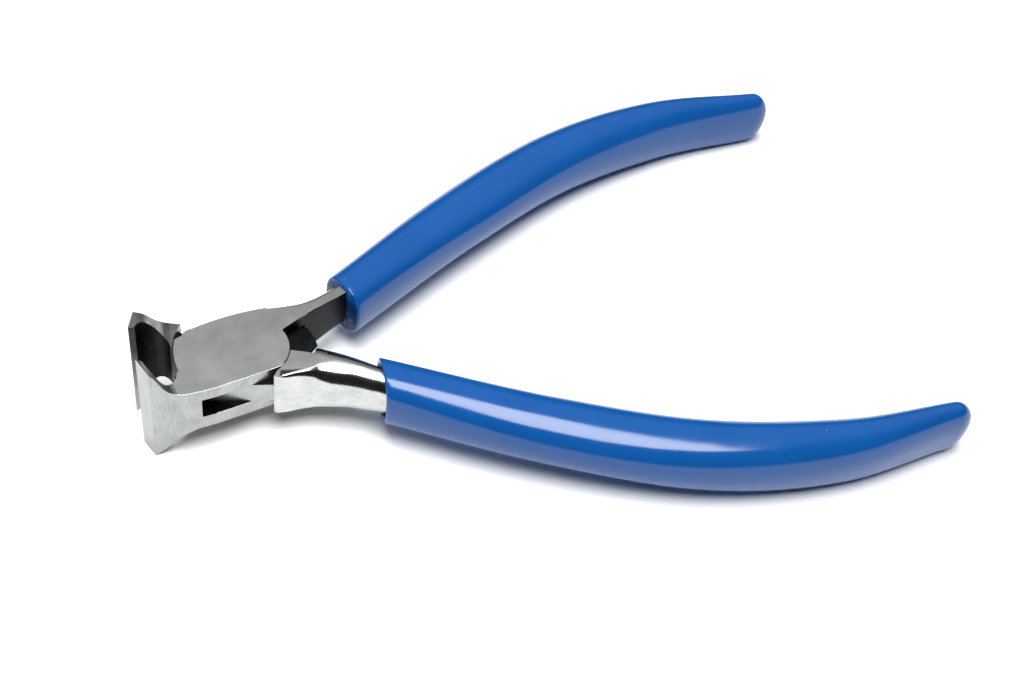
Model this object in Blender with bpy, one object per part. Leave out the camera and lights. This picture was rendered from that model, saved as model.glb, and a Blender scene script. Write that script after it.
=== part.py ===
"""End-cutting nippers with a box joint and a sleeve on each handle.

Two forged levers cross at one rivet. The waist of the inner lever passes through a slot in the
box lever, so the box lever has a cheek above the waist and one below it. Each lever ends in a
jaw as wide as the tool is tall, whose edge lies across the front, and in a tang that a sleeve
covers.

Each lever is drawn in its closed frame: X runs from the jaws to the handles, Z is the rivet's
axis, and both cutting edges lie on y = 0. An empty on the rivet's axis turns it to rest, with
the jaws open. z = 0 is the outer face of the lower cheek. Lengths are in millimetres.
"""

import math
from collections import namedtuple

import bmesh
import bpy
from mathutils import Matrix, Vector

MM = 0.001

# Joint
HALF_OPENING = math.radians(10.1)
THICKNESS = 7.5
LOWER_CHEEK = 2.2
UPPER_CHEEK = 1.9
SLOT_PLAY = 0.06
SLOT_RADIUS = 9.5
LOBE_RADIUS = 9.4
FRONT_RADIUS = 9.7
REAR_RADIUS = 5.45
SHOULDER_PLAY = 0.12
PIN_RADIUS = 2.0
PIN_FIT = 0.02
PIN_PLAY = 0.06
MID = THICKNESS / 2

# Jaws
EDGE_REACH = 15.2
EDGE_PLAY = 0.03
RIDGE = (-14.6, 3.05)
JAW_WIDTH = 16.9
JAW_TOP = MID + JAW_WIDTH / 2
JAW_BOTTOM = MID - JAW_WIDTH / 2
HOLLOW_CENTRE = (-12.22, -0.09)
HOLLOW_RADIUS = 2.19
HOLLOW_ENDS = (14.0, 166.0)

# Each jaw widens towards its edge: x, and how far it stands out of the face of the box. Both
# levers are one forging turned over, so the gentle side of one jaw is above and of the other below.
GENTLE_FLARE = [(-8.7, 0.0), (-9.5, 0.3), (-10.8, 0.9), (-11.8, 2.1), (-12.5, 2.8), (-13.1, 3.6),
                (-13.6, 4.0), (-14.2, 4.4), (-14.9, JAW_TOP - THICKNESS)]
STEEP_FLARE = [(-11.2, 0.0), (-12.1, 0.35), (-12.7, 1.0), (-13.4, 2.4), (-14.0, 3.7),
               (-14.5, 4.5), (-15.0, JAW_TOP - THICKNESS)]

# Sides of the box
NEAR_SIDE = 4.75

# Handles
SLEEVE_LINE = ((17.5, 5.5), (38.4, 13.5), (58.9, 19.2), (78.2, 20.0), (95.0, 16.9))
SLEEVE_HALF_WIDTH = (3.65, 4.65, 4.03, 2.13)
SLEEVE_HALF_HEIGHT = (4.35, 4.3, 5.1, 4.7)
SLEEVE_NOSE = 3.4
SLEEVE_SQUARENESS = 2.25
MOUTH_SQUARENESS = 2.6
MOUTH_FADE = 0.13
# Where each sleeve's mouth is: how far in front of the first point of the line, and how much it
# leans back on its outer side. The key is the lever's side: 1 for the box lever, -1 for the inner.
MOUTHS = {1: (1.6, math.radians(6.6)), -1: (0.2, math.radians(25.0))}
MOUTH_WALL = 0.6
SLEEVE_WALL = 1.3
BORE_END = 0.95
TANG_GAP = 0.3
TANG_SLIMNESS = 0.8
TANG_ROUNDING = 0.6
TANG_START = 0.09
TANG_END = 0.93
TANG_STATIONS = 13

# Fineness of the round stretches
ARC_STEP = math.radians(6)
CORNER_POINTS = 5
RING_POINTS = 28
SLEEVE_STATIONS = 28
BORE_STATIONS = 12
NOSE_STATIONS = 6
PIN_SEGMENTS = 48
REACH = 30.0

# A cross-section of a handle: a place on the plan and the angle of the handle there, the sides
# near and far from the tool's axis, the lowest and highest z, and the width and depth of each
# rounded corner.
Station = namedtuple(
    "Station", "place angle near far low high top_near top_far low_near low_far")

SHARP = (0.05, 0.05)


# ---------------------------------------------------------------- shapes

def arc(centre, radius, start, end):
    """Points on a circle between two angles in degrees, both ends included."""
    first, last = math.radians(start), math.radians(end)
    steps = max(2, round(abs(last - first) / ARC_STEP))
    angles = [first + (last - first) * i / steps for i in range(steps + 1)]
    return [(centre[0] + radius * math.cos(a), centre[1] + radius * math.sin(a)) for a in angles]


def new_object(name, mesh_data):
    """Link a new object that holds the finished bmesh."""
    bmesh.ops.recalc_face_normals(mesh_data, faces=mesh_data.faces[:])
    mesh = bpy.data.meshes.new(name)
    mesh_data.to_mesh(mesh)
    mesh_data.free()
    obj = bpy.data.objects.new(name, mesh)
    bpy.context.scene.collection.objects.link(obj)
    return obj


def prism(name, outline, low, high):
    """A plate: a flat outline extruded from one height to another."""
    solid = bmesh.new()
    corners = [solid.verts.new((x * MM, y * MM, low * MM)) for x, y in outline]
    floor = solid.faces.new(corners)
    lifted = bmesh.ops.extrude_face_region(solid, geom=[floor])["geom"]
    top = [v for v in lifted if isinstance(v, bmesh.types.BMVert)]
    bmesh.ops.translate(solid, vec=(0, 0, (high - low) * MM), verts=top)
    return new_object(name, solid)


def loft(name, rings):
    """A closed solid through rings that all have the same number of points."""
    solid = bmesh.new()
    loops = [[solid.verts.new(Vector(p) * MM) for p in ring] for ring in rings]
    for first, second in zip(loops, loops[1:]):
        for i in range(len(first)):
            j = (i + 1) % len(first)
            solid.faces.new((first[i], first[j], second[j], second[i]))
    solid.faces.new(loops[0][::-1])
    solid.faces.new(loops[-1])
    return new_object(name, solid)


def combine(target, other, operation):
    """Cut, join or intersect the target with another object, which is left out of the part."""
    modifier = target.modifiers.new(operation.lower(), "BOOLEAN")
    modifier.operation = operation
    modifier.solver = "EXACT"
    modifier.object = other
    other.hide_render = True
    other.display_type = "WIRE"
    other.parent = target.parent


def smooth(obj, angle=25):
    """Shade the round stretches smooth and keep the edges sharp."""
    obj.data.shade_smooth()
    obj.data.set_sharp_from_angle(angle=math.radians(angle))


def blend(values, along):
    """Read a smooth value from evenly spaced ones, by a Catmull-Rom spline."""
    last = len(values) - 1
    span = min(int(along * last), last - 1)
    t = along * last - span
    b, c = values[span], values[span + 1]
    a = values[span - 1] if span else b + (b - c)
    d = values[span + 2] if span + 2 <= last else c + (c - b)
    return b + 0.5 * t * (c - a + t * (2 * a - 5 * b + 4 * c - d + t * (3 * (b - c) + d - a)))


# ---------------------------------------------------------------- levers

def corner(centre, size, start):
    """Points of one elliptical corner of a cross-section, a quarter turn from start."""
    angles = [start + math.pi / 2 * i / (CORNER_POINTS - 1) for i in range(CORNER_POINTS)]
    return [(centre[0] + size[0] * math.cos(a), centre[1] + size[1] * math.sin(a)) for a in angles]


def station_ring(station, side):
    """One cross-section of a handle, as points in space."""
    s = station
    outline = corner((s.far - s.top_far[0], s.high - s.top_far[1]), s.top_far, 0)
    outline += corner((s.near + s.top_near[0], s.high - s.top_near[1]), s.top_near, math.pi / 2)
    outline += corner((s.near + s.low_near[0], s.low + s.low_near[1]), s.low_near, math.pi)
    outline += corner((s.far - s.low_far[0], s.low + s.low_far[1]), s.low_far, 1.5 * math.pi)
    x, y = s.place
    return [(x - out * math.sin(s.angle), side * (y + out * math.cos(s.angle)), z)
            for out, z in outline]


def cut_across(x, near, far, trim, corners):
    """A cross-section of the shank square to X, with its flats trimmed above and below."""
    return Station((x, 0.0), 0.0, near, far, trim, THICKNESS - trim, *corners)


def side_profile(name, flare_above, flare_below):
    """A solid as wide as the tool that gives a lever's head its height along X."""
    upper = [(x, THICKNESS + out) for x, out in flare_above]
    lower = [(x, -out) for x, out in flare_below]
    front = [(-REACH, JAW_TOP), (-REACH, JAW_BOTTOM)]
    outline = upper + front + lower[::-1] + [(REACH, 0.0), (REACH, THICKNESS)]
    solid = prism(name, outline, -REACH, REACH)
    solid.data.transform(Matrix.Rotation(math.pi / 2, 4, "X"))
    return solid


def sleeve_centre(along):
    """Centre line of a handle: point and unit direction, with y away from the tool's axis."""
    step = 0.004
    xs, ys = zip(*SLEEVE_LINE)

    def point(u):
        return Vector((blend(xs, u), blend(ys, u)))

    ahead, behind = min(1.0, along + step), max(0.0, along - step)
    return point(along), (point(ahead) - point(behind)).normalized()


def oval_ring(along, half_width, half_height, squareness, side, ahead=0.0):
    """A rounded cross-section, square to a handle's centre line except near a sleeve's mouth."""
    centre, direction = sleeve_centre(along)
    across = Vector((-direction.y, direction.x))
    forward, lean = MOUTHS[side]
    mouth = max(0.0, 1.0 - along / MOUTH_FADE)
    ring = []
    for i in range(RING_POINTS):
        a = 2 * math.pi * (i + 0.5) / RING_POINTS
        c, s = math.cos(a), math.sin(a)
        out = half_width * math.copysign(abs(c) ** (2 / squareness), c)
        up = half_height * math.copysign(abs(s) ** (2 / squareness), s)
        shift = ahead - mouth * (forward - math.tan(lean) * out)
        place = centre + direction * shift + across * out
        ring.append((place.x, side * place.y, MID + up))
    return ring


def sleeve_size(along):
    """Half width, half height and squareness of a sleeve."""
    past_mouth = min(1.0, 4 * along)
    squareness = MOUTH_SQUARENESS + (SLEEVE_SQUARENESS - MOUTH_SQUARENESS) * past_mouth
    return blend(SLEEVE_HALF_WIDTH, along), blend(SLEEVE_HALF_HEIGHT, along), squareness


def bore_size(along):
    """Half width, half height and squareness of the bore in a sleeve."""
    width, height, squareness = sleeve_size(along)
    wall = MOUTH_WALL + (SLEEVE_WALL - MOUTH_WALL) * min(1.0, 6 * along)
    return width - wall, height - wall, squareness + 0.2


def tang_stations():
    """Cross-sections of the handle inside its sleeve, almost to the nose."""
    stations = []
    for i in range(TANG_STATIONS):
        along = TANG_START + (TANG_END - TANG_START) * i / (TANG_STATIONS - 1)
        centre, direction = sleeve_centre(along)
        width, height, _ = bore_size(along)
        width = TANG_SLIMNESS * width - TANG_GAP
        height = TANG_SLIMNESS * height - TANG_GAP
        rounding = (TANG_ROUNDING * width, TANG_ROUNDING * height)
        angle = math.atan2(direction.y, direction.x)
        stations.append(Station(centre, angle, -width, width, MID - height, MID + height,
                                *[rounding] * 4))
    return stations


def box_lever_outline():
    """Plan of the box lever's head, closed: near jaw, both cheeks and the far shank's root."""
    jaw = [(-EDGE_REACH, -EDGE_PLAY), (RIDGE[0], -RIDGE[1]), (-11.8, -3.65), (-10.8, -4.2),
           (-9.5, -4.45), (-8.2, -4.62), (-6.5, -NEAR_SIDE)]
    corner_turn = arc((2.75, -4.25), 0.5, -90, -45)
    rear = arc((0, 0), REAR_RADIUS, -52, 11.5)
    root = [(8.05, 2.0), (9.6, 2.33), (4.7, 5.62)]
    far_side = [(3.4, 5.84), (1.9, 6.03), (-0.8, 6.19), (-3.3, 6.17), (-5.4, 5.97)]
    front_turn = arc((-5.9, 4.5), 1.5, 80, 145)
    front = arc((0, 0), FRONT_RADIUS, 148.5, 181)
    hollow = arc((HOLLOW_CENTRE[0], -HOLLOW_CENTRE[1]), HOLLOW_RADIUS,
                 -HOLLOW_ENDS[0], -HOLLOW_ENDS[1])
    return jaw + corner_turn + rear + root + far_side + front_turn + front + hollow


def box_lever_profile():
    """Side view of the box lever's head."""
    return side_profile("box_lever_profile", STEEP_FLARE, GENTLE_FLARE)


def box_lever_handle():
    """The far shank, wide at its root, and the tang."""
    soft = (0.5, 0.5)
    shank = [
        cut_across(3.2, 1.5, 5.4, 0, (SHARP, (0.1, 0.2), SHARP, (0.1, 0.2))),
        cut_across(4.5, 1.8, 5.6, 0, (SHARP, (0.2, 0.4), SHARP, (0.1, 0.2))),
        cut_across(6.5, 2.0, 5.42, 0, (SHARP, (0.6, 1.2), SHARP, (0.2, 0.3))),
        cut_across(8.1, 2.2, 5.4, 0, (SHARP, (1.0, 2.2), SHARP, soft)),
        cut_across(9.8, 2.5, 5.5, 0, (SHARP, (1.4, 3.2), (0.3, 0.4), soft)),
        cut_across(12.0, 2.95, 5.85, 0.1, (SHARP, (1.5, 3.6), (0.9, 1.4), soft)),
        cut_across(14.7, 3.65, 6.55, 0.2, (SHARP, (1.5, 3.6), (1.2, 2.4), soft)),
        cut_across(17.5, 4.3, 7.5, 0.25, (SHARP, (1.6, 3.4), (1.5, 3.4), (0.9, 1.2))),
    ]
    return loft("box_lever_handle", [station_ring(s, 1) for s in shank + tang_stations()])


def inner_lever_outline():
    """Plan of the inner lever's head, closed: far jaw, waist and the near shank's root."""
    jaw = [(-EDGE_REACH, EDGE_PLAY), RIDGE, (-11.8, 3.65), (-10.8, 4.2), (-9.5, 4.45),
           (-8.2, 4.7)]
    waist_far = [(-6.0, NEAR_SIDE), (8.1, NEAR_SIDE)]
    lobe = arc((0, 0), LOBE_RADIUS, 30, 8)
    root = [(4.0, -5.4), (3.6, -5.42), (3.1, -5.16), (3.05, -5.05)]
    waist_near = [(-4.0, -NEAR_SIDE - 0.03)] + arc((0, 0), LOBE_RADIUS, 210.3, 183)
    hollow = arc(HOLLOW_CENTRE, HOLLOW_RADIUS, *HOLLOW_ENDS)
    return jaw + waist_far + lobe + root + waist_near + hollow


def inner_lever_profile():
    """Side view of the inner lever's head."""
    return side_profile("inner_lever_profile", GENTLE_FLARE, STEEP_FLARE)


def inner_lever_handle():
    """The near shank, oval towards its sleeve, and the tang."""
    soft, low_in = (0.35, 0.35), (1.2, 1.2)
    shank = [
        cut_across(3.2, 1.5, 5.1, 0, (SHARP, (0.1, 0.2), SHARP, SHARP)),
        cut_across(3.9, 1.0, 5.38, 0, (SHARP, (0.3, 0.4), SHARP, (0.1, 0.1))),
        cut_across(4.8, 0.6, 5.38, 0, (SHARP, (0.5, 0.8), SHARP, (0.1, 0.1))),
        cut_across(6.5, 0.3, 5.15, 0, (SHARP, (0.8, 1.5), SHARP, soft)),
        cut_across(8.2, 0.0, 5.21, 0, ((1.7, 0.9), (1.4, 2.4), SHARP, (0.6, 1.0))),
        cut_across(9.1, -0.3, 5.4, 0, ((2.2, 1.6), (2.2, 3.0), (0.8, 0.8), (0.9, 1.6))),
        cut_across(11.0, -0.2, 5.9, 0.05, ((2.8, 2.9), (3.0, 3.3), low_in, (1.3, 2.4))),
        cut_across(13.0, 0.6, 6.35, 0.1, ((2.7, 3.0), (2.9, 3.4), low_in, (1.6, 2.8))),
        cut_across(15.0, 1.55, 7.08, 0.2, ((2.6, 3.0), (2.8, 3.4), low_in, (1.8, 3.0))),
        cut_across(17.5, 2.85, 7.95, 0.3, ((2.4, 3.2), (2.6, 3.4), (1.7, 1.9), (2.0, 3.2))),
    ]
    return loft("inner_lever_handle", [station_ring(s, -1) for s in shank + tang_stations()])


def pocket_outline():
    """Plan of the room the cheeks need above and below the inner lever's waist."""
    front = arc((0, 0), FRONT_RADIUS + SHOULDER_PLAY, 125, 235)
    shoulder = [(2.9, -9.0), (3.1, -5.16)]
    rear = arc((0, 0), REAR_RADIUS + SHOULDER_PLAY, -50, -8.5)
    crotch = [(8.6, -1.5), (9.05, -0.2), (11.0, 12.0)]
    return front + shoulder + rear + crotch


def slot_outline():
    """Plan of the slot for the waist: round, and open in front of the cheeks."""
    return arc((0, 0), SLOT_RADIUS, 184, 460) + arc((0, 0), FRONT_RADIUS + 3, 100, 182)


def build_box_lever(frame):
    """The lever with both cheeks, the near jaw and the far handle."""
    lever = prism("box_lever", box_lever_outline(), JAW_BOTTOM - 1, JAW_TOP + 1)
    lever.parent = frame
    combine(lever, box_lever_profile(), "INTERSECT")
    combine(lever, box_lever_handle(), "UNION")
    combine(lever, prism("slot", slot_outline(), LOWER_CHEEK, THICKNESS - UPPER_CHEEK),
            "DIFFERENCE")
    combine(lever, pin_shape("cheek_holes", PIN_RADIUS + PIN_FIT, -1, THICKNESS + 1), "DIFFERENCE")
    return lever


def build_inner_lever(frame):
    """The lever whose waist passes through the slot: far jaw and near handle."""
    lever = prism("inner_lever", inner_lever_outline(), JAW_BOTTOM - 1, JAW_TOP + 1)
    lever.parent = frame
    combine(lever, inner_lever_profile(), "INTERSECT")
    combine(lever, inner_lever_handle(), "UNION")
    waist = (LOWER_CHEEK + SLOT_PLAY, THICKNESS - UPPER_CHEEK - SLOT_PLAY)
    for name, low, high in (("lower_pocket", JAW_BOTTOM - 2, waist[0]),
                            ("upper_pocket", waist[1], JAW_TOP + 2)):
        combine(lever, prism(name, pocket_outline(), low, high), "DIFFERENCE")
    combine(lever, pin_shape("waist_hole", PIN_RADIUS + PIN_PLAY, -1, THICKNESS + 1), "DIFFERENCE")
    return lever


def pin_shape(name, radius, low, high):
    """A cylinder on the joint's axis."""
    outline = [(radius * math.cos(2 * math.pi * i / PIN_SEGMENTS),
                radius * math.sin(2 * math.pi * i / PIN_SEGMENTS)) for i in range(PIN_SEGMENTS)]
    return prism(name, outline, low, high)


def build_pin(frame):
    """The rivet, ground flush with both cheeks."""
    pin = pin_shape("joint_pin", PIN_RADIUS, 0, THICKNESS)
    pin.parent = frame
    return pin


# ---------------------------------------------------------------- sleeves

def build_sleeve(name, side, frame):
    """A sleeve: outer skin from its mouth to its blunt nose, and a blind bore for the tang."""
    outer, bore = [], []
    for i in range(SLEEVE_STATIONS + 1):
        along = i / SLEEVE_STATIONS
        outer.append(oval_ring(along, *sleeve_size(along), side))
    width, height, squareness = sleeve_size(1.0)
    for i in range(1, NOSE_STATIONS):
        turn = math.pi / 2 * i / NOSE_STATIONS
        shrink = math.cos(turn)
        outer.append(oval_ring(1.0, width * shrink, height * shrink, squareness, side,
                               ahead=SLEEVE_NOSE * math.sin(turn)))
    for i in range(BORE_STATIONS + 1):
        along = BORE_END * i / BORE_STATIONS
        bore.append(oval_ring(along, *bore_size(along), side))
    sleeve = loft(name, bore[::-1] + outer)
    sleeve.parent = frame
    return sleeve


# ---------------------------------------------------------------- finishes

def material(name, colour, roughness, metallic):
    """A plain finish for one kind of piece."""
    finish = bpy.data.materials.new(name)
    finish.use_nodes = True
    shader = finish.node_tree.nodes["Principled BSDF"]
    shader.inputs["Base Color"].default_value = (*colour, 1.0)
    shader.inputs["Roughness"].default_value = roughness
    shader.inputs["Metallic"].default_value = metallic
    return finish


def clear_scene():
    """Start from an empty scene."""
    for obj in list(bpy.data.objects):
        bpy.data.objects.remove(obj, do_unlink=True)


def lever_frame(name, turn):
    """An empty on the rivet's axis, turned from closed to rest."""
    frame = bpy.data.objects.new(name, None)
    frame.rotation_euler = (0, 0, turn)
    bpy.context.scene.collection.objects.link(frame)
    return frame


def main():
    """Build every piece."""
    clear_scene()
    steel = material("satin_tool_steel", (0.55, 0.56, 0.55), 0.32, 1.0)
    vinyl = material("blue_vinyl", (0.005, 0.105, 0.43), 0.15, 0.0)

    box_frame = lever_frame("box_lever_frame", HALF_OPENING)
    inner_frame = lever_frame("inner_lever_frame", -HALF_OPENING)

    steel_pieces = [build_box_lever(box_frame), build_inner_lever(inner_frame),
                    build_pin(box_frame)]
    sleeves = [build_sleeve("box_lever_grip", 1, box_frame),
               build_sleeve("inner_lever_grip", -1, inner_frame)]
    for piece in steel_pieces + sleeves:
        piece.data.materials.append(steel if piece in steel_pieces else vinyl)
        smooth(piece)


main()
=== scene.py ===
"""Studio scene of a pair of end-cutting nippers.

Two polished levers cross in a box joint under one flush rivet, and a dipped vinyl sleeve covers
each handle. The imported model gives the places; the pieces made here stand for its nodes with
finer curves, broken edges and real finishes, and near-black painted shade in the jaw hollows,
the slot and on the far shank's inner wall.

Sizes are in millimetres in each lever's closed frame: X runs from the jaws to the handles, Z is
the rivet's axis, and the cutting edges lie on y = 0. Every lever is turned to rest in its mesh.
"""

from __future__ import annotations

import logging
import math
from collections.abc import Callable, Sequence
from dataclasses import dataclass, field
from enum import Enum

import bmesh
import bpy
from mathutils import Matrix, Vector

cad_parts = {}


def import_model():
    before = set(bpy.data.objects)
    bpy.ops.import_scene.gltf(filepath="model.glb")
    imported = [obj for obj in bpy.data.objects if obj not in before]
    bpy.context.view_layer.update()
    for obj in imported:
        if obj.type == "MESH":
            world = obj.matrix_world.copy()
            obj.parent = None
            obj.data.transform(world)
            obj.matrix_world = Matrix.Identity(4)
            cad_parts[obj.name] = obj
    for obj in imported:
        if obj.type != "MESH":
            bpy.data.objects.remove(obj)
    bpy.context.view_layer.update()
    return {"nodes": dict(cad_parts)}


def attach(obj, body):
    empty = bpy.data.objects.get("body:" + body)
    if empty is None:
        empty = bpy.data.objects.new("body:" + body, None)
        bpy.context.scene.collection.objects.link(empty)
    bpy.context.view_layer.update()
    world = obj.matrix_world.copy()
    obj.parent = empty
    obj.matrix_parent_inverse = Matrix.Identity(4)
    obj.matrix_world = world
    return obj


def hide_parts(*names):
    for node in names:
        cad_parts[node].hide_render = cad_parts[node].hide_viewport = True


MM = 0.001
log = logging.getLogger("nippers")

Point = tuple[float, float]
Outline = list[Point]
Point3 = tuple[float, float, float]
Ring = list[Vector]


# ---------------------------------------------------------------- curves

def arc(radius: float, start: float, end: float, centre: Point = (0.0, 0.0),
        step: float = 2.5) -> Outline:
    """Points on a circle between two angles.

    Args:
        radius: Radius of the circle.
        start: First angle in degrees.
        end: Last angle in degrees.
        centre: Centre of the circle.
        step: Largest angle between two points, in degrees.

    Returns:
        The points, both ends included.
    """
    count = max(2, math.ceil(abs(end - start) / step))
    angles = [math.radians(start + (end - start) * i / count) for i in range(count + 1)]
    return [(centre[0] + radius * math.cos(a), centre[1] + radius * math.sin(a)) for a in angles]


def blend(values: Sequence[float], along: float) -> float:
    """Read a smooth value from evenly spaced ones, by a Catmull-Rom spline.

    Args:
        values: The evenly spaced values.
        along: Place between the first value, 0, and the last, 1.

    Returns:
        The value there.
    """
    last = len(values) - 1
    span = min(int(along * last), last - 1)
    t = along * last - span
    b, c = values[span], values[span + 1]
    a = values[span - 1] if span else b + (b - c)
    d = values[span + 2] if span + 2 <= last else c + (c - b)
    return b + 0.5 * t * (c - a + t * (2 * a - 5 * b + 4 * c - d + t * (3 * (b - c) + d - a)))


def mirrored(outline: Outline) -> Outline:
    """The outline turned over across the tool's axis."""
    return [(x, -y) for x, y in outline]


# ---------------------------------------------------------------- meshes

def prism(outline: Outline, low: float, high: float) -> bmesh.types.BMesh:
    """Extrude a flat outline into a plate.

    Args:
        outline: Corners of the plate in plan.
        low: Height of its lower face.
        high: Height of its upper face.

    Returns:
        The closed plate.
    """
    plate = bmesh.new()
    corners = [plate.verts.new((x * MM, y * MM, low * MM)) for x, y in outline]
    floor = plate.faces.new(corners)
    lifted = bmesh.ops.extrude_face_region(plate, geom=[floor])["geom"]
    top = [item for item in lifted if isinstance(item, bmesh.types.BMVert)]
    bmesh.ops.translate(plate, vec=(0, 0, (high - low) * MM), verts=top)
    bmesh.ops.recalc_face_normals(plate, faces=plate.faces[:])
    return plate


def loft(rings: Sequence[Ring]) -> bmesh.types.BMesh:
    """Bridge rings of equal count into one closed solid.

    Args:
        rings: Rings of points in millimetres, first to last.

    Returns:
        The solid, with a flat cap on its first and last ring.
    """
    solid = bmesh.new()
    loops = []
    for ring in rings:
        corners = [solid.verts.new(p * MM) for p in ring]
        loops.append([solid.edges.new((a, b)) for a, b in zip(corners, corners[1:] + corners[:1])])
    for first, second in zip(loops, loops[1:]):
        bmesh.ops.bridge_loops(solid, edges=first + second)
    for loop in (loops[0], loops[-1]):
        bmesh.ops.contextual_create(solid, geom=loop)
    bmesh.ops.recalc_face_normals(solid, faces=solid.faces[:])
    return solid


def new_object(name: str, shape: bmesh.types.BMesh) -> bpy.types.Object:
    """Link a new object that holds the finished bmesh."""
    mesh = bpy.data.meshes.new(name)
    shape.to_mesh(mesh)
    shape.free()
    piece = bpy.data.objects.new(name, mesh)
    bpy.context.scene.collection.objects.link(piece)
    return piece


class Fit(Enum):
    """How a second shape changes the first."""

    KEEP_COMMON = "INTERSECT"
    JOIN = "UNION"
    CUT = "DIFFERENCE"


def combine(shape: bmesh.types.BMesh, steps: Sequence[tuple[Fit, bmesh.types.BMesh]]
            ) -> bmesh.types.BMesh:
    """Apply cuts and joins to a solid.

    Args:
        shape: The solid to start from.
        steps: What is done, and the solid it is done with, in order.

    Returns:
        The finished solid.
    """
    work = new_object("work", shape)
    tools = []
    for fit, tool in steps:
        tools.append(new_object("tool", tool))
        modifier = work.modifiers.new(fit.name, "BOOLEAN")
        modifier.operation = fit.value
        modifier.solver = "EXACT"
        modifier.object = tools[-1]
    result = bmesh.new()
    result.from_object(work, bpy.context.evaluated_depsgraph_get())
    for item in [work, *tools]:
        bpy.data.objects.remove(item, do_unlink=True)
    return result


def break_edges(shape: bmesh.types.BMesh, width: float,
                worn: Callable[[bmesh.types.BMVert], bool], sharper_than: float = 24.0) -> None:
    """Round the long sharp edges a little, as a polishing wheel leaves them.

    Edges beside a face too narrow to give up the width of the rounding stay as they are.

    Args:
        shape: The solid, changed in place.
        width: Width of the rounding in millimetres.
        worn: Whether the wheel reaches a corner.
        sharper_than: Smallest turn in degrees that counts as sharp.
    """
    bmesh.ops.remove_doubles(shape, verts=shape.verts[:], dist=0.04 * MM)
    bmesh.ops.dissolve_limit(shape, angle_limit=math.radians(0.6), verts=shape.verts[:],
                             edges=shape.edges[:])

    def roomy(face: bmesh.types.BMFace) -> bool:
        return face.calc_area() / max(e.calc_length() for e in face.edges) > 3 * width * MM

    sharp = [e for e in shape.edges
             if e.is_manifold and e.calc_face_angle() > math.radians(sharper_than)
             and all(worn(v) for v in e.verts) and all(roomy(f) for f in e.link_faces)]
    bmesh.ops.bevel(shape, geom=sharp, offset=width * MM, offset_type="OFFSET", segments=2,
                    profile=0.5, affect="EDGES", clamp_overlap=False, material=-1)
    bmesh.ops.remove_doubles(shape, verts=shape.verts[:], dist=0.005 * MM)


def shade(piece: bpy.types.Object, sharper_than: float = 40.0) -> None:
    """Shade a piece smooth, with its flats kept flat and its sharp edges sharp."""
    piece.data.shade_smooth()
    piece.data.set_sharp_from_angle(angle=math.radians(sharper_than))
    weighted = piece.modifiers.new("flat_faces", "WEIGHTED_NORMAL")
    weighted.keep_sharp = True


# ---------------------------------------------------------------- levers

@dataclass(frozen=True)
class Joint:
    """Sizes that both levers share at the box joint and the jaws."""

    thickness: float = 7.5
    lower_cheek: float = 2.2
    upper_cheek: float = 1.9
    slot_play: float = 0.06
    slot_radius: float = 9.5
    lobe_radius: float = 9.4
    front_radius: float = 9.7
    rear_radius: float = 5.45
    shoulder_play: float = 0.12
    pin_radius: float = 2.0
    pin_hole: float = 2.003
    jaw_width: float = 16.86
    edge_reach: float = 15.18
    edge_play: float = 0.04
    ridge: Point = (-14.6, 3.03)
    hollow_centre: Point = (-12.22, -0.09)
    hollow_radius: float = 2.19
    hollow_ends: Point = (14.0, 166.0)
    near_side: float = 4.75
    half_opening: float = math.radians(10.1)

    @property
    def middle(self) -> float:
        """Height of the middle of the box."""
        return self.thickness / 2

    @property
    def jaw_top(self) -> float:
        """Height of the jaws' upper corners."""
        return self.middle + self.jaw_width / 2

    @property
    def jaw_bottom(self) -> float:
        """Height of the jaws' lower corners."""
        return self.middle - self.jaw_width / 2

    def flare(self, gentle: bool) -> Outline:
        """How far a jaw stands out of the box's face at each x, on one of its two sides."""
        rise = self.jaw_top - self.thickness
        if gentle:
            return [(-8.7, 0.0), (-9.1, 0.1), (-9.5, 0.28), (-10.1, 0.5), (-10.8, 0.9),
                    (-11.3, 1.45), (-11.8, 2.1), (-12.5, 2.85), (-13.1, 3.6), (-13.6, 4.0),
                    (-14.2, 4.35), (-14.9, rise)]
        return [(-11.2, 0.0), (-11.7, 0.12), (-12.1, 0.35), (-12.4, 0.62), (-12.7, 1.02),
                (-13.05, 1.65), (-13.4, 2.4), (-13.7, 3.05), (-14.0, 3.65), (-14.5, 4.4),
                (-15.0, rise)]


@dataclass(frozen=True)
class Section:
    """A cross-section of a shank square to X, from its near side to its far one.

    Each corner holds the width and the depth of its rounding.
    """

    x: float
    near: float
    far: float
    trim: float
    top_near: Point
    top_far: Point
    low_near: Point
    low_far: Point

    def numbers(self) -> list[float]:
        """Every size in one list, so that sections can be blended."""
        corners = (self.top_near, self.top_far, self.low_near, self.low_far)
        return [self.x, self.near, self.far, self.trim, *(n for c in corners for n in c)]

    @staticmethod
    def between(sections: Sequence[Section], along: float) -> Section:
        """The smooth section at a place along a row of sections."""
        x, near, far, trim, *c = [blend(column, along)
                                  for column in zip(*(s.numbers() for s in sections))]
        pairs = [(max(0.05, c[i]), max(0.05, c[i + 1])) for i in range(0, 8, 2)]
        return Section(x, near, far, max(0.0, trim), *pairs)


CRISP = (0.12, 0.12)


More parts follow.
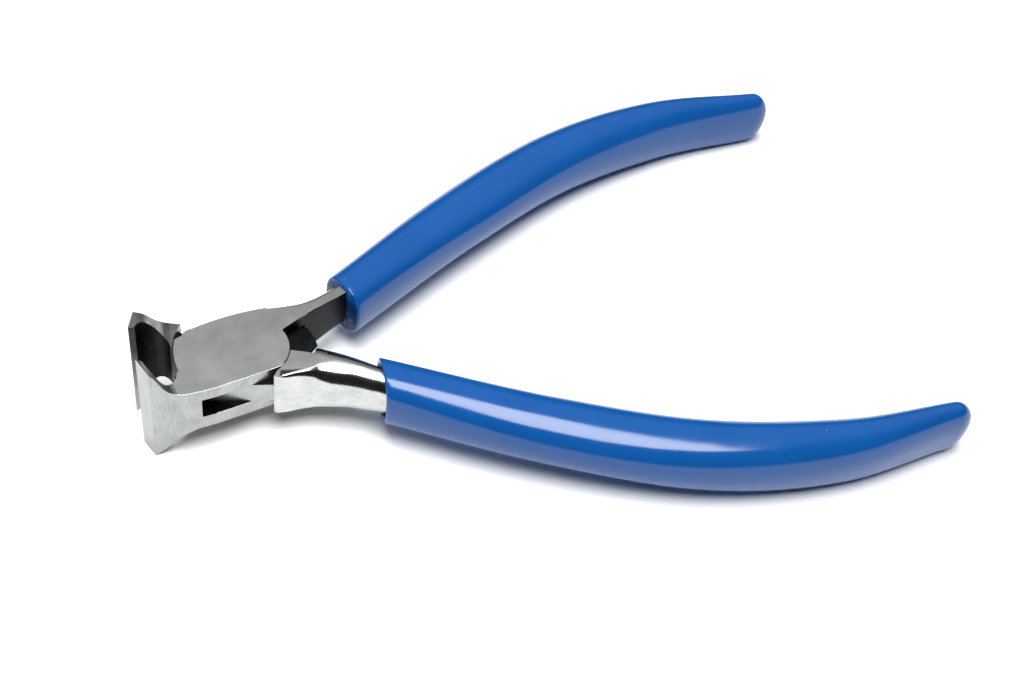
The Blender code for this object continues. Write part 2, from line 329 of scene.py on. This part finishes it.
@dataclass
class HandleLine:
    """Centre line and size of a handle under its sleeve, with y away from the tool's axis."""

    xs: tuple[float, ...] = (17.5, 38.4, 58.9, 78.2, 95.0)
    ys: tuple[float, ...] = (5.5, 13.5, 19.2, 20.0, 16.9)
    half_widths: tuple[float, ...] = (3.65, 4.65, 4.03, 2.13)
    half_heights: tuple[float, ...] = (4.35, 4.3, 5.1, 4.7)

    def at(self, along: float) -> tuple[Vector, Vector]:
        """Point and unit direction of the line at a place from 0 to 1."""
        step = 0.004
        points = [Vector((blend(self.xs, u), blend(self.ys, u)))
                  for u in (along, max(0.0, along - step), min(1.0, along + step))]
        return points[0], (points[2] - points[1]).normalized()

    def size(self, along: float) -> Point:
        """Half width and half height of the sleeve's outside."""
        return blend(self.half_widths, along), blend(self.half_heights, along)


@dataclass
class Lever:
    """One forging: its jaw, its part of the joint, its shank and the tang in the sleeve."""

    name: str
    node: str
    body: str
    side: int
    joint: Joint = field(default_factory=Joint)
    line: HandleLine = field(default_factory=HandleLine)
    sections_between: int = 3
    corner_points: int = 9
    reach: float = 30.0
    broken_edge: float = 0.07
    jaw_root: float = 9.9
    flat_end: float = 18.0
    shoulder_x: float = 3.0

    def plan(self) -> Outline:
        """Plan of the head, closed."""
        raise NotImplementedError

    def sections(self) -> list[Section]:
        """Cross-sections of the shank, from inside the head to the sleeve's mouth."""
        raise NotImplementedError

    def cuts(self) -> list[tuple[Fit, bmesh.types.BMesh]]:
        """What is cut away to let the other lever and the rivet through."""
        raise NotImplementedError

    def gentle_above(self) -> bool:
        """Whether the jaw's gentle flare is on its upper side."""
        return self.side < 0

    def profile(self) -> bmesh.types.BMesh:
        """A wide solid that gives the head its height along X."""
        j = self.joint
        above = [(x, j.thickness + out) for x, out in j.flare(self.gentle_above())]
        below = [(x, -out) for x, out in j.flare(not self.gentle_above())]
        front = [(-self.reach, j.jaw_top), (-self.reach, j.jaw_bottom)]
        back = [(self.reach, 0.0), (self.reach, j.thickness)]
        solid = prism(above + front + below[::-1] + back, -self.reach, self.reach)
        solid.transform(Matrix.Rotation(math.pi / 2, 4, "X"))
        bmesh.ops.recalc_face_normals(solid, faces=solid.faces[:])
        return solid

    def rounded(self, near: float, far: float, low: float, high: float,
                corners: Sequence[Point]) -> Outline:
        """A rectangle with a quarter of an ellipse at each corner."""
        top_near, top_far, low_near, low_far = corners
        places = [((far - top_far[0], high - top_far[1]), top_far),
                  ((near + top_near[0], high - top_near[1]), top_near),
                  ((near + low_near[0], low + low_near[1]), low_near),
                  ((far - low_far[0], low + low_far[1]), low_far)]
        outline = []
        for quarter, (centre, size) in enumerate(places):
            for i in range(self.corner_points):
                a = math.pi / 2 * (quarter + i / (self.corner_points - 1))
                outline.append((centre[0] + size[0] * math.cos(a),
                                centre[1] + size[1] * math.sin(a)))
        return outline

    def tang_ring(self, along: float, slimness: float = 0.62) -> Ring:
        """A cross-section of the tang, square to the handle's line."""
        point, direction = self.line.at(along)
        width, height = (slimness * size for size in self.line.size(along))
        rounding = (0.6 * width, 0.6 * height)
        low, high = self.joint.middle - height, self.joint.middle + height
        return [Vector((point.x - out * direction.y, self.side * (point.y + out * direction.x), z))
                for out, z in self.rounded(-width, width, low, high, [rounding] * 4)]

    def handle(self) -> bmesh.types.BMesh:
        """The shank and the tang as one smooth solid."""
        rows = self.sections()
        count = self.sections_between * (len(rows) - 1)
        rings = []
        for i in range(count + 1):
            s = Section.between(rows, i / count)
            outline = self.rounded(s.near, s.far, s.trim, self.joint.thickness - s.trim,
                                   (s.top_near, s.top_far, s.low_near, s.low_far))
            rings.append([Vector((s.x, self.side * out, z)) for out, z in outline])
        tang = [0.1 + 0.8 * i / 14 for i in range(15)]
        return loft(rings + [self.tang_ring(along) for along in tang])

    def round_hole(self) -> bmesh.types.BMesh:
        """The rivet's hole."""
        return prism(arc(self.joint.pin_hole, 0, 356, step=4), -1, self.joint.thickness + 1)

    def finish_of(self, place: Vector, normal: Vector) -> Steel:
        """Which finish a face has, the near-black painted shade included.

        Args:
            place: Middle of the face in the closed frame, in millimetres.
            normal: The way it looks.

        Returns:
            Its finish.
        """
        j = self.joint
        flat = abs(normal.z) > 0.95
        radius = math.hypot(place.x, place.y)
        hollow = Vector((j.hollow_centre[0], -self.side * j.hollow_centre[1]))
        # Painted shade: the concave jaw hollows get the near-black steel for the dark they reflect.
        if (place.xy - hollow).length < j.hollow_radius + 0.1 and not flat:
            return Steel.FORGED_AND_PAINTED_SHADE
        if place.x < -self.jaw_root:
            return Steel.SIDE
        in_slot = j.lower_cheek - 0.1 < place.z < j.thickness - j.upper_cheek + 0.1
        # Painted shade: faces at the slot's height that look into the joint, such as the waist's top,
        # get the near-black steel.
        if in_slot and radius < j.slot_radius + 0.1 and self.hidden_in_slot(place, normal):
            return Steel.FORGED_AND_PAINTED_SHADE
        # The far shank's inner wall gets the near-black steel: partly a blackened forged face, partly
        # painted shade for the dark crotch it reflects.
        if self.inner_wall(place, normal):
            return Steel.FORGED_AND_PAINTED_SHADE
        if flat and not in_slot and place.x < self.flat_end:
            return Steel.CHEEK
        return Steel.SIDE if place.x < self.shoulder_x else Steel.POLISHED

    def hidden_in_slot(self, place: Vector, normal: Vector) -> bool:
        """Whether a face at the slot's height looks into the joint and not out of its near side."""
        return -normal.y < 0.5 and not (place.x > 2.0 and place.y < -4.0)

    def inner_wall(self, place: Vector, normal: Vector) -> bool:
        """Whether a face lies on the side of the far shank that looks at the near one."""
        return place.x > 5.0 and self.side > 0 and normal.y < -0.2

    def worn(self, corner: bmesh.types.BMVert) -> bool:
        """Whether the polishing wheel has softened a corner: never at the rivet or the seams."""
        raise NotImplementedError

    def build(self, dress: Callable[[bpy.types.Object], None]) -> bpy.types.Object:
        """Make the lever, turn it to rest and dress it.

        Args:
            dress: Gives the piece its finishes.

        Returns:
            The lever, riding on its body in place of its node.
        """
        j = self.joint
        head = prism(self.plan(), j.jaw_bottom - 1, j.jaw_top + 1)
        steps = [(Fit.KEEP_COMMON, self.profile()), (Fit.JOIN, self.handle()), *self.cuts()]
        shape = combine(head, steps)
        break_edges(shape, self.broken_edge, self.worn)
        order = list(Steel)
        for face in shape.faces:
            finish = self.finish_of(face.calc_center_median() / MM, face.normal)
            face.material_index = order.index(finish)
        shape.transform(Matrix.Rotation(self.side * j.half_opening, 4, "Z"))
        lever = new_object(self.name, shape)
        shade(lever)
        dress(lever)
        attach(lever, self.body)
        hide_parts(self.node)
        return lever


@dataclass
class BoxLever(Lever):
    """The lever with both cheeks, the near jaw and the far handle."""

    def plan(self) -> Outline:
        """Plan of the near jaw, the cheeks and the far shank's root."""
        j = self.joint
        jaw = [(-j.edge_reach, -j.edge_play), (j.ridge[0], -j.ridge[1]), (-11.8, -3.65),
               (-10.8, -4.18), (-10.2, -4.33), (-9.5, -4.45), (-8.2, -4.62), (-6.5, -j.near_side)]
        corner_turn = arc(0.5, -90, -45, (2.75, -4.25), 9)
        rear = arc(j.rear_radius, -52, 11.5)
        root = [(8.05, 2.0), (9.6, 2.33), (4.7, 5.62)]
        far_side = [(3.4, 5.84), (1.9, 6.03), (0.5, 6.13), (-0.8, 6.18), (-2.0, 6.19),
                    (-3.3, 6.16), (-4.4, 6.08), (-5.4, 5.97)]
        front_turn = arc(1.5, 80, 145, (-5.9, 4.5), 9)
        front = arc(j.front_radius, 148.5, 181)
        hollow = arc(j.hollow_radius, -j.hollow_ends[0], -j.hollow_ends[1],
                     (j.hollow_centre[0], -j.hollow_centre[1]), 5)
        return jaw + corner_turn + rear + root + far_side + front_turn + front + hollow

    def sections(self) -> list[Section]:
        """Cross-sections of the far shank."""
        soft = (0.5, 0.5)
        return [
            Section(3.2, 1.5, 5.4, 0, CRISP, (0.12, 0.2), CRISP, (0.12, 0.2)),
            Section(4.5, 1.8, 5.6, 0, CRISP, (0.2, 0.4), CRISP, (0.12, 0.2)),
            Section(6.5, 2.0, 5.42, 0, CRISP, (0.6, 1.2), CRISP, (0.2, 0.3)),
            Section(8.1, 2.2, 5.4, 0, CRISP, (1.0, 2.2), CRISP, soft),
            Section(9.8, 2.5, 5.5, 0, CRISP, (1.4, 3.2), (0.3, 0.4), soft),
            Section(12.0, 2.95, 5.85, 0.1, CRISP, (1.5, 3.6), (0.9, 1.4), soft),
            Section(14.7, 3.65, 6.55, 0.2, CRISP, (1.5, 3.6), (1.2, 2.4), soft),
            Section(17.5, 4.3, 7.5, 0.25, CRISP, (1.6, 3.4), (1.5, 3.4), (0.9, 1.2)),
        ]

    def worn(self, corner: bmesh.types.BMVert) -> bool:
        """Whether the wheel reaches a corner: the near jaw and the cheeks' near edge."""
        place = corner.co / MM
        on_cheek = place.y < 1.5 and place.x < 6.0
        return place.xy.length > 2 * self.joint.pin_radius and (place.x < -10.3 or on_cheek)

    def cuts(self) -> list[tuple[Fit, bmesh.types.BMesh]]:
        """The slot for the waist and the rivet's hole."""
        j = self.joint
        slot = arc(j.slot_radius, 184, 460) + arc(j.front_radius + 3, 100, 182)
        return [(Fit.CUT, prism(slot, j.lower_cheek, j.thickness - j.upper_cheek)),
                (Fit.CUT, self.round_hole())]


@dataclass
class InnerLever(Lever):
    """The lever whose waist passes through the slot: far jaw and near handle."""

    def plan(self) -> Outline:
        """Plan of the far jaw, the waist and the near shank's root."""
        j = self.joint
        jaw = [(-j.edge_reach, j.edge_play), j.ridge, (-11.8, 3.65), (-10.8, 4.2),
               (-10.2, 4.36), (-9.5, 4.48), (-8.2, 4.7)]
        waist_far = [(-6.0, j.near_side), (8.1, j.near_side)]
        lobe = arc(j.lobe_radius, 30, 8)
        root = [(4.0, -5.4), (3.6, -5.42), (3.1, -5.16), (3.05, -5.05)]
        waist_near = [(-4.0, -j.near_side - 0.03)] + arc(j.lobe_radius, 210.3, 183)
        hollow = arc(j.hollow_radius, *j.hollow_ends, j.hollow_centre, 5)
        return jaw + waist_far + lobe + root + waist_near + hollow

    def sections(self) -> list[Section]:
        """Cross-sections of the near shank."""
        soft, low_in = (0.35, 0.35), (1.2, 1.2)
        return [
            Section(3.2, 1.5, 5.1, 0, CRISP, (0.12, 0.2), CRISP, CRISP),
            Section(3.9, 1.0, 5.38, 0, CRISP, (0.3, 0.4), CRISP, CRISP),
            Section(4.8, 0.6, 5.38, 0, CRISP, (0.5, 0.8), CRISP, CRISP),
            Section(6.5, 0.3, 5.15, 0, CRISP, (0.8, 1.5), CRISP, soft),
            Section(8.2, 0.0, 5.21, 0, (1.7, 0.9), (1.4, 2.4), CRISP, (0.6, 1.0)),
            Section(9.1, -0.3, 5.4, 0, (2.2, 1.6), (2.2, 3.0), (0.8, 0.8), (0.9, 1.6)),
            Section(11.0, -0.2, 5.9, 0.05, (2.8, 2.9), (3.0, 3.3), low_in, (1.3, 2.4)),
            Section(13.0, 0.6, 6.35, 0.1, (2.7, 3.0), (2.9, 3.4), low_in, (1.6, 2.8)),
            Section(15.0, 1.55, 7.08, 0.2, (2.6, 3.0), (2.8, 3.4), low_in, (1.8, 3.0)),
            Section(17.5, 2.85, 7.95, 0.3, (2.4, 3.2), (2.6, 3.4), (1.7, 1.9), (2.0, 3.2)),
        ]

    def worn(self, corner: bmesh.types.BMVert) -> bool:
        """Whether the wheel reaches a corner: the far jaw, clear of its slot for the cheeks."""
        return corner.co.x / MM < -11.0

    def cuts(self) -> list[tuple[Fit, bmesh.types.BMesh]]:
        """The room that the cheeks need above and below the waist, and the rivet's hole."""
        j = self.joint
        front = arc(j.front_radius + j.shoulder_play, 125, 235)
        shoulder = [(2.9, -9.0), (3.1, -5.16)]
        rear = arc(j.rear_radius + j.shoulder_play, -50, -8.5)
        crotch = [(8.6, -1.5), (9.05, -0.2), (11.0, 12.0)]
        pocket = front + shoulder + rear + crotch
        waist_low = j.lower_cheek + j.slot_play
        waist_high = j.thickness - j.upper_cheek - j.slot_play
        return [(Fit.CUT, prism(pocket, j.jaw_bottom - 2, waist_low)),
                (Fit.CUT, prism(pocket, waist_high, j.jaw_top + 2)),
                (Fit.CUT, self.round_hole())]


# ---------------------------------------------------------------- sleeves

@dataclass
class Sleeve:
    """A dipped sleeve: a soft skin round the handle with a thin rolled lip at its mouth."""

    name: str
    node: str
    body: str
    side: int
    forward: float
    lean: float
    joint: Joint = field(default_factory=Joint)
    line: HandleLine = field(default_factory=HandleLine)
    skin: float = 0.04
    mouth_wall: float = 0.62
    wall: float = 1.3
    mouth_fade: float = 0.13
    squareness: float = 2.25
    mouth_squareness: float = 2.6
    nose: float = 3.32
    ring_points: int = 72
    stations: int = 96
    lip_points: int = 7
    nose_points: int = 12
    bore_stations: int = 16
    bore_end: float = 0.95

    def ring(self, along: float, inset: float, ahead: float = 0.0, shrink: float = 1.0) -> Ring:
        """A rounded cross-section of the sleeve.

        Args:
            along: Place on the handle's line from 0 to 1.
            inset: Distance inside the outer skin, in millimetres.
            ahead: Distance moved along the line, in millimetres.
            shrink: Size as a share of the full one.

        Returns:
            The ring's points.
        """
        point, direction = self.line.at(along)
        across = Vector((-direction.y, direction.x))
        width, height = (shrink * (size - self.skin - inset) for size in self.line.size(along))
        past_mouth = min(1.0, 4 * along)
        square = self.mouth_squareness + (self.squareness - self.mouth_squareness) * past_mouth
        mouth = max(0.0, 1.0 - along / self.mouth_fade)
        ring = []
        for i in range(self.ring_points):
            a = 2 * math.pi * (i + 0.5) / self.ring_points
            c, s = math.cos(a), math.sin(a)
            out = width * math.copysign(abs(c) ** (2 / square), c)
            up = height * math.copysign(abs(s) ** (2 / square), s)
            shift = ahead - mouth * (self.forward - math.tan(self.lean) * out)
            place = point + direction * shift + across * out
            ring.append(Vector((place.x, self.side * place.y, self.joint.middle + up)))
        return ring

    def wall_at(self, along: float) -> float:
        """Thickness of the skin at a place on the line."""
        return self.mouth_wall + (self.wall - self.mouth_wall) * min(1.0, 6 * along)

    def rings(self) -> list[Ring]:
        """Rings from the bottom of the bore, out round the lip and on to the nose."""
        rings = []
        for i in range(self.bore_stations, 0, -1):
            along = self.bore_end * i / self.bore_stations
            rings.append(self.ring(along, self.wall_at(along)))
        half = self.mouth_wall / 2
        for i in range(self.lip_points + 1):
            a = math.pi * i / self.lip_points
            rings.append(self.ring(0.0, half + half * math.cos(a), half * (1 - math.sin(a))))
        for i in range(1, self.stations + 1):
            rings.append(self.ring(i / self.stations, 0.0))
        for i in range(1, self.nose_points):
            a = math.pi / 2 * i / self.nose_points
            rings.append(self.ring(1.0, 0.0, (self.nose - self.skin) * math.sin(a), math.cos(a)))
        return rings

    def build(self, dress: Callable[[bpy.types.Object], None]) -> bpy.types.Object:
        """Make the sleeve, turn it to rest and dress it.

        Args:
            dress: Gives the piece its finish.

        Returns:
            The sleeve, riding on its body in place of its node.
        """
        shape = loft(self.rings())
        shape.transform(Matrix.Rotation(self.side * self.joint.half_opening, 4, "Z"))
        sleeve = new_object(self.name, shape)
        sleeve.data.shade_smooth()
        dress(sleeve)
        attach(sleeve, self.body)
        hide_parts(self.node)
        return sleeve


# ---------------------------------------------------------------- finishes

def linear(code: str) -> tuple[float, float, float, float]:
    """Turn an sRGB hex colour into linear light.

    Args:
        code: Six hex digits after a hash sign.

    Returns:
        Red, green, blue and an alpha of 1.
    """
    shares = [int(code[i:i + 2], 16) / 255 for i in (1, 3, 5)]
    light = [s / 12.92 if s <= 0.04045 else ((s + 0.055) / 1.055) ** 2.4 for s in shares]
    return (light[0], light[1], light[2], 1.0)


def add_node(tree: bpy.types.NodeTree, kind: str, settings: dict[str, object] | None = None,
             links: dict[str | int, bpy.types.NodeSocket] | None = None) -> bpy.types.Node:
    """Add a node with its settings and the links into it.

    Args:
        tree: The tree the node joins.
        kind: Blender's name for the node.
        settings: Properties or input values by name.
        links: Sockets that feed its inputs, by the inputs' names or numbers.

    Returns:
        The new node.
    """
    made = tree.nodes.new(kind)
    for name, value in (settings or {}).items():
        if name in made.inputs:
            made.inputs[name].default_value = value
        else:
            setattr(made, name, value)
    for name, socket in (links or {}).items():
        tree.links.new(socket, made.inputs[name])
    return made


def per_mm(size: float) -> float:
    """Noise scale whose features are about this many millimetres across."""
    return 1 / (size * MM)


@dataclass(frozen=True)
class SteelFinish:
    """Forged tool steel, as one grinding or polishing step leaves it.

    The grain is noise drawn out along one axis: the longer a stretch, the longer the marks.
    """

    name: str
    colour: str
    shadow_colour: str
    roughness: float
    roughness_spread: float
    grain: float
    stretch: tuple[float, float, float]
    grain_depth: float
    speck: float = 0.0
    cloud: float = 3.0

    def make(self) -> bpy.types.Material:
        """The material: clouded steel with drawn-out grain and a few dark specks."""
        material = bpy.data.materials.new(self.name)
        material.use_nodes = True
        tree = material.node_tree
        shader = tree.nodes["Principled BSDF"]
        shader.inputs["Metallic"].default_value = 1.0
        place = add_node(tree, "ShaderNodeTexCoord").outputs["Object"]
        drawn = add_node(tree, "ShaderNodeMapping", {"Scale": self.stretch}, {"Vector": place})
        grain = add_node(tree, "ShaderNodeTexNoise",
                         {"Scale": per_mm(self.grain), "Detail": 3.0, "Roughness": 0.6},
                         {"Vector": drawn.outputs["Vector"]})
        cloud = add_node(tree, "ShaderNodeTexNoise",
                         {"Scale": per_mm(self.cloud), "Detail": 4.0, "Roughness": 0.55},
                         {"Vector": place})
        mixed = add_node(tree, "ShaderNodeMath", {"operation": "MULTIPLY"},
                         {0: grain.outputs["Fac"], 1: cloud.outputs["Fac"]})
        tone = add_node(tree, "ShaderNodeMapRange",
                        {"From Min": 0.12, "From Max": 0.34}, {"Value": mixed.outputs["Value"]})
        colour = add_node(tree, "ShaderNodeMix",
                          {"data_type": "RGBA"}, {"Factor": tone.outputs["Result"]})
        colour.inputs[6].default_value = linear(self.shadow_colour)
        colour.inputs[7].default_value = linear(self.colour)
        socket = colour.outputs[2]
        if self.speck:
            cells = add_node(tree, "ShaderNodeTexVoronoi",
                             {"Scale": per_mm(0.9), "Randomness": 1.0}, {"Vector": place})
            dots = add_node(tree, "ShaderNodeMapRange",
                            {"From Min": 0.05, "From Max": 0.11, "To Min": self.speck, "To Max": 0.0},
                            {"Value": cells.outputs["Distance"]})
            speckled = add_node(tree, "ShaderNodeMix", {"data_type": "RGBA"},
                                {"Factor": dots.outputs["Result"]})
            tree.links.new(socket, speckled.inputs[6])
            speckled.inputs[7].default_value = linear("#35373A")
            socket = speckled.outputs[2]
        tree.links.new(socket, shader.inputs["Base Color"])
        rough = add_node(tree, "ShaderNodeMapRange",
                         {"From Min": 0.3, "From Max": 0.7,
                          "To Min": self.roughness - self.roughness_spread,
                          "To Max": self.roughness + self.roughness_spread},
                         {"Value": cloud.outputs["Fac"]})
        tree.links.new(rough.outputs["Result"], shader.inputs["Roughness"])
        relief = add_node(tree, "ShaderNodeBump",
                          {"Strength": 1.0, "Distance": self.grain_depth * MM},
                          {"Height": grain.outputs["Fac"]})
        tree.links.new(relief.outputs["Normal"], shader.inputs["Normal"])
        return material


class Steel(Enum):
    """The surfaces of a lever, in the order of its material slots."""

    # Surface-ground flat and rubbed satin: an even mid-grey with a very fine grain.
    CHEEK = SteelFinish("satin_ground_steel", "#ABADAA", "#A1A3A0", 0.36, 0.02, 0.16,
                        (1.0, 1.0, 1.0), 0.0012, 0.35)
    # Ground square to the tool on a coarse belt: bright, with marks that run up and down.
    SIDE = SteelFinish("belt_ground_steel", "#A9ABA7", "#8F918D", 0.32, 0.05, 0.14,
                       (1.0, 1.0, 0.1), 0.004, 0.25)
    # Buffed on a wheel: clear reflections with faint streaks along the handle.
    POLISHED = SteelFinish("buffed_steel", "#C2C3C0", "#ACAEAB", 0.13, 0.03, 0.3,
                           (0.3, 1.0, 1.0), 0.0008)
    # Near-black painted shade in the jaw hollows and the slot; on the far shank's inner wall,
    # blackened forging with painted shade.
    FORGED_AND_PAINTED_SHADE = SteelFinish("blackened_steel_and_painted_shade", "#232628", "#17191A", 0.42, 0.05, 0.5,
                         (1.0, 1.0, 1.0), 0.006)


@dataclass(frozen=True)
class DippedVinyl:
    """Soft PVC that the handle was dipped in: wet-looking gloss over a slightly wavy skin."""

    name: str = "dipped_gloss_vinyl"
    colour: str = "#0D4E92"
    deep_colour: str = "#0B4585"
    dust_colour: str = "#9DB7D8"
    roughness: float = 0.15
    wave: float = 7.0
    wave_depth: float = 0.05
    dust_spacing: float = 3.2

    def make(self) -> bpy.types.Material:
        """The material: a clouded blue with waves in its gloss and a few grains of dust."""
        material = bpy.data.materials.new(self.name)
        material.use_nodes = True
        tree = material.node_tree
        shader = tree.nodes["Principled BSDF"]
        shader.inputs["IOR"].default_value = 1.53
        shader.inputs["Specular IOR Level"].default_value = 0.4
        place = add_node(tree, "ShaderNodeTexCoord").outputs["Object"]
        cloud = add_node(tree, "ShaderNodeTexNoise",
                         {"Scale": per_mm(9.0), "Detail": 2.0}, {"Vector": place})
        colour = add_node(tree, "ShaderNodeMix", {"data_type": "RGBA"},
                          {"Factor": cloud.outputs["Fac"]})
        colour.inputs[6].default_value = linear(self.deep_colour)
        colour.inputs[7].default_value = linear(self.colour)
        cells = add_node(tree, "ShaderNodeTexVoronoi",
                         {"Scale": per_mm(self.dust_spacing)}, {"Vector": place})
        dust = add_node(tree, "ShaderNodeMapRange",
                        {"From Min": 0.01, "From Max": 0.03, "To Min": 0.45, "To Max": 0.0},
                        {"Value": cells.outputs["Distance"]})
        dusty = add_node(tree, "ShaderNodeMix", {"data_type": "RGBA"},
                         {"Factor": dust.outputs["Result"]})
        tree.links.new(colour.outputs[2], dusty.inputs[6])
        dusty.inputs[7].default_value = linear(self.dust_colour)
        tree.links.new(dusty.outputs[2], shader.inputs["Base Color"])
        rough = add_node(tree, "ShaderNodeMapRange",
                         {"To Min": self.roughness - 0.03, "To Max": self.roughness + 0.05},
                         {"Value": cloud.outputs["Fac"]})
        tree.links.new(rough.outputs["Result"], shader.inputs["Roughness"])
        wave = add_node(tree, "ShaderNodeTexNoise",
                        {"Scale": per_mm(self.wave), "Detail": 1.0}, {"Vector": place})
        relief = add_node(tree, "ShaderNodeBump",
                          {"Strength": 1.0, "Distance": self.wave_depth * MM},
                          {"Height": wave.outputs["Fac"]})
        tree.links.new(relief.outputs["Normal"], shader.inputs["Normal"])
        return material


@dataclass(frozen=True)
class MattePaper:
    """White background paper: matt, with no visible texture."""

    name: str = "white_background_paper"
    colour: str = "#F4F5F6"

    def make(self) -> bpy.types.Material:
        """The material: one pale colour without gloss."""
        material = bpy.data.materials.new(self.name)
        material.use_nodes = True
        shader = material.node_tree.nodes["Principled BSDF"]
        shader.inputs["Base Color"].default_value = linear(self.colour)
        shader.inputs["Roughness"].default_value = 0.9
        shader.inputs["Specular IOR Level"].default_value = 0.1
        return material


# ---------------------------------------------------------------- studio

@dataclass
class Studio:
    """Paper floor, softboxes, room light and the camera."""

    floor_size: float = 3.0
    camera_place: tuple[float, float, float] = (-26.14, -129.27, 160.14)
    camera_azimuth: float = -26.55
    camera_elevation: float = 48.38
    camera_roll: float = 9.87
    lens: float = 52.73
    dark_wall: str = "#2A2C2E"
    pale_ceiling: str = "#AFB1B3"

    def lay_floor(self, nodes: dict[str, bpy.types.Object]) -> None:
        """Lay the paper so that the jaws' lower corners and both sleeves rest on it."""
        points = [v.co for piece in nodes.values() for v in piece.data.vertices]
        lowest = min(p.z for p in points)
        heel = max((p for p in points if p.z < lowest + 0.01 * MM), key=lambda p: p.x)
        handles = [p for p in points if p.x > heel.x + 20 * MM]
        slope = min((p.z - heel.z) / (p.x - heel.x) for p in handles)
        shape = bmesh.new()
        bmesh.ops.create_grid(shape, x_segments=1, y_segments=1, size=self.floor_size / 2)
        shape.transform(Matrix.Translation(heel) @ Matrix.Rotation(-math.atan(slope), 4, "Y"))
        floor = new_object("floor", shape)
        floor.data.materials.append(MattePaper().make())

    def softbox(self, name: str, place: Point3, size: Point, watts: float,
                aimed: bool = False) -> None:
        """Hang a soft light that faces down, or the tool.

        Args:
            name: Name of the light.
            place: Where it hangs, in millimetres from the rivet.
            size: Width and height of its face in millimetres.
            watts: Its power.
            aimed: Whether it is turned towards the tool.
        """
        lamp = bpy.data.lights.new(name, "AREA")
        lamp.shape = "RECTANGLE"
        lamp.size, lamp.size_y = (s * MM for s in size)
        lamp.energy = watts
        light = bpy.data.objects.new(name, lamp)
        bpy.context.scene.collection.objects.link(light)
        target = Vector((35, 0, 0)) * MM
        light.location = Vector(place) * MM
        if aimed:
            light.rotation_euler = (light.location - target).to_track_quat("Z", "Y").to_euler()

    def light(self) -> None:
        """Hang the lights and fill the room."""
        self.softbox("overhead_softbox", (-5, -65, 450), (250, 370), 3.8)
        world = bpy.data.worlds.new("room")
        bpy.context.scene.world = world
        world.use_nodes = True
        tree = world.node_tree
        background = tree.nodes["Background"]
        background.inputs["Strength"].default_value = 1.0
        direction = add_node(tree, "ShaderNodeTexCoord").outputs["Generated"]
        parts = add_node(tree, "ShaderNodeSeparateXYZ", links={"Vector": direction})
        height = add_node(tree, "ShaderNodeMapRange",
                          {"interpolation_type": "SMOOTHSTEP", "From Min": 0.3, "From Max": 0.6},
                          {"Value": parts.outputs["Z"]})
        depth = add_node(tree, "ShaderNodeMapRange",
                         {"interpolation_type": "SMOOTHSTEP", "From Min": -0.6, "From Max": 0.1},
                         {"Value": parts.outputs["Y"]})
        share = add_node(tree, "ShaderNodeMath", {"operation": "MULTIPLY"},
                         {0: height.outputs["Result"], 1: depth.outputs["Result"]})
        tone = add_node(tree, "ShaderNodeMix", {"data_type": "RGBA"},
                        {"Factor": share.outputs["Value"]})
        tone.inputs[6].default_value = linear(self.dark_wall)
        tone.inputs[7].default_value = linear(self.pale_ceiling)
        tree.links.new(tone.outputs[2], background.inputs["Color"])

    def place_camera(self) -> None:
        """Stand the camera where it sees the tool from above its near jaw."""
        camera = bpy.data.objects.new("camera", bpy.data.cameras.new("camera"))
        bpy.context.scene.collection.objects.link(camera)
        camera.data.lens = self.lens
        camera.data.clip_start = 1 * MM
        turn = (Matrix.Rotation(math.radians(self.camera_azimuth), 4, "Z")
                @ Matrix.Rotation(math.radians(90 - self.camera_elevation), 4, "X")
                @ Matrix.Rotation(math.radians(self.camera_roll), 4, "Z"))
        camera.matrix_world = Matrix.Translation(Vector(self.camera_place) * MM) @ turn
        bpy.context.scene.camera = camera

    def build(self, nodes: dict[str, bpy.types.Object]) -> None:
        """Set up the whole studio round the tool."""
        self.lay_floor(nodes)
        self.light()
        self.place_camera()
        bpy.context.scene.view_settings.view_transform = "Standard"


# ---------------------------------------------------------------- the tool

@dataclass
class Nippers:
    """The whole tool."""

    def build(self) -> list[bpy.types.Object]:
        """Make and dress every piece."""
        steels = [finish.value.make() for finish in Steel]
        vinyl = DippedVinyl().make()

        def dress_steel(piece: bpy.types.Object) -> None:
            for material in steels:
                piece.data.materials.append(material)

        def dress_vinyl(piece: bpy.types.Object) -> None:
            piece.data.materials.append(vinyl)

        return [
            BoxLever("box_lever_detail", "box_lever", "box_lever", 1).build(dress_steel),
            InnerLever("inner_lever_detail", "inner_lever", "inner_lever", -1).build(dress_steel),
            Sleeve("box_lever_sleeve", "box_lever_grip", "box_lever", 1, 1.6,
                   math.radians(6.6)).build(dress_vinyl),
            Sleeve("inner_lever_sleeve", "inner_lever_grip", "inner_lever", -1, 0.2,
                   math.radians(25.0)).build(dress_vinyl),
        ]


def main() -> None:
    """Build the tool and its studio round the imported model."""
    logging.basicConfig(level=logging.INFO, format="%(name)s: %(message)s")
    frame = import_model()
    pieces = Nippers().build()
    rivet = frame["nodes"]["joint_pin"]
    rivet.data.materials.clear()
    rivet.data.materials.append(bpy.data.materials[Steel.CHEEK.value.name])
    Studio().build(frame["nodes"])
    for piece in pieces:
        log.info("%s: %d faces", piece.name, len(piece.data.polygons))


if __name__ == "__main__":
    main()
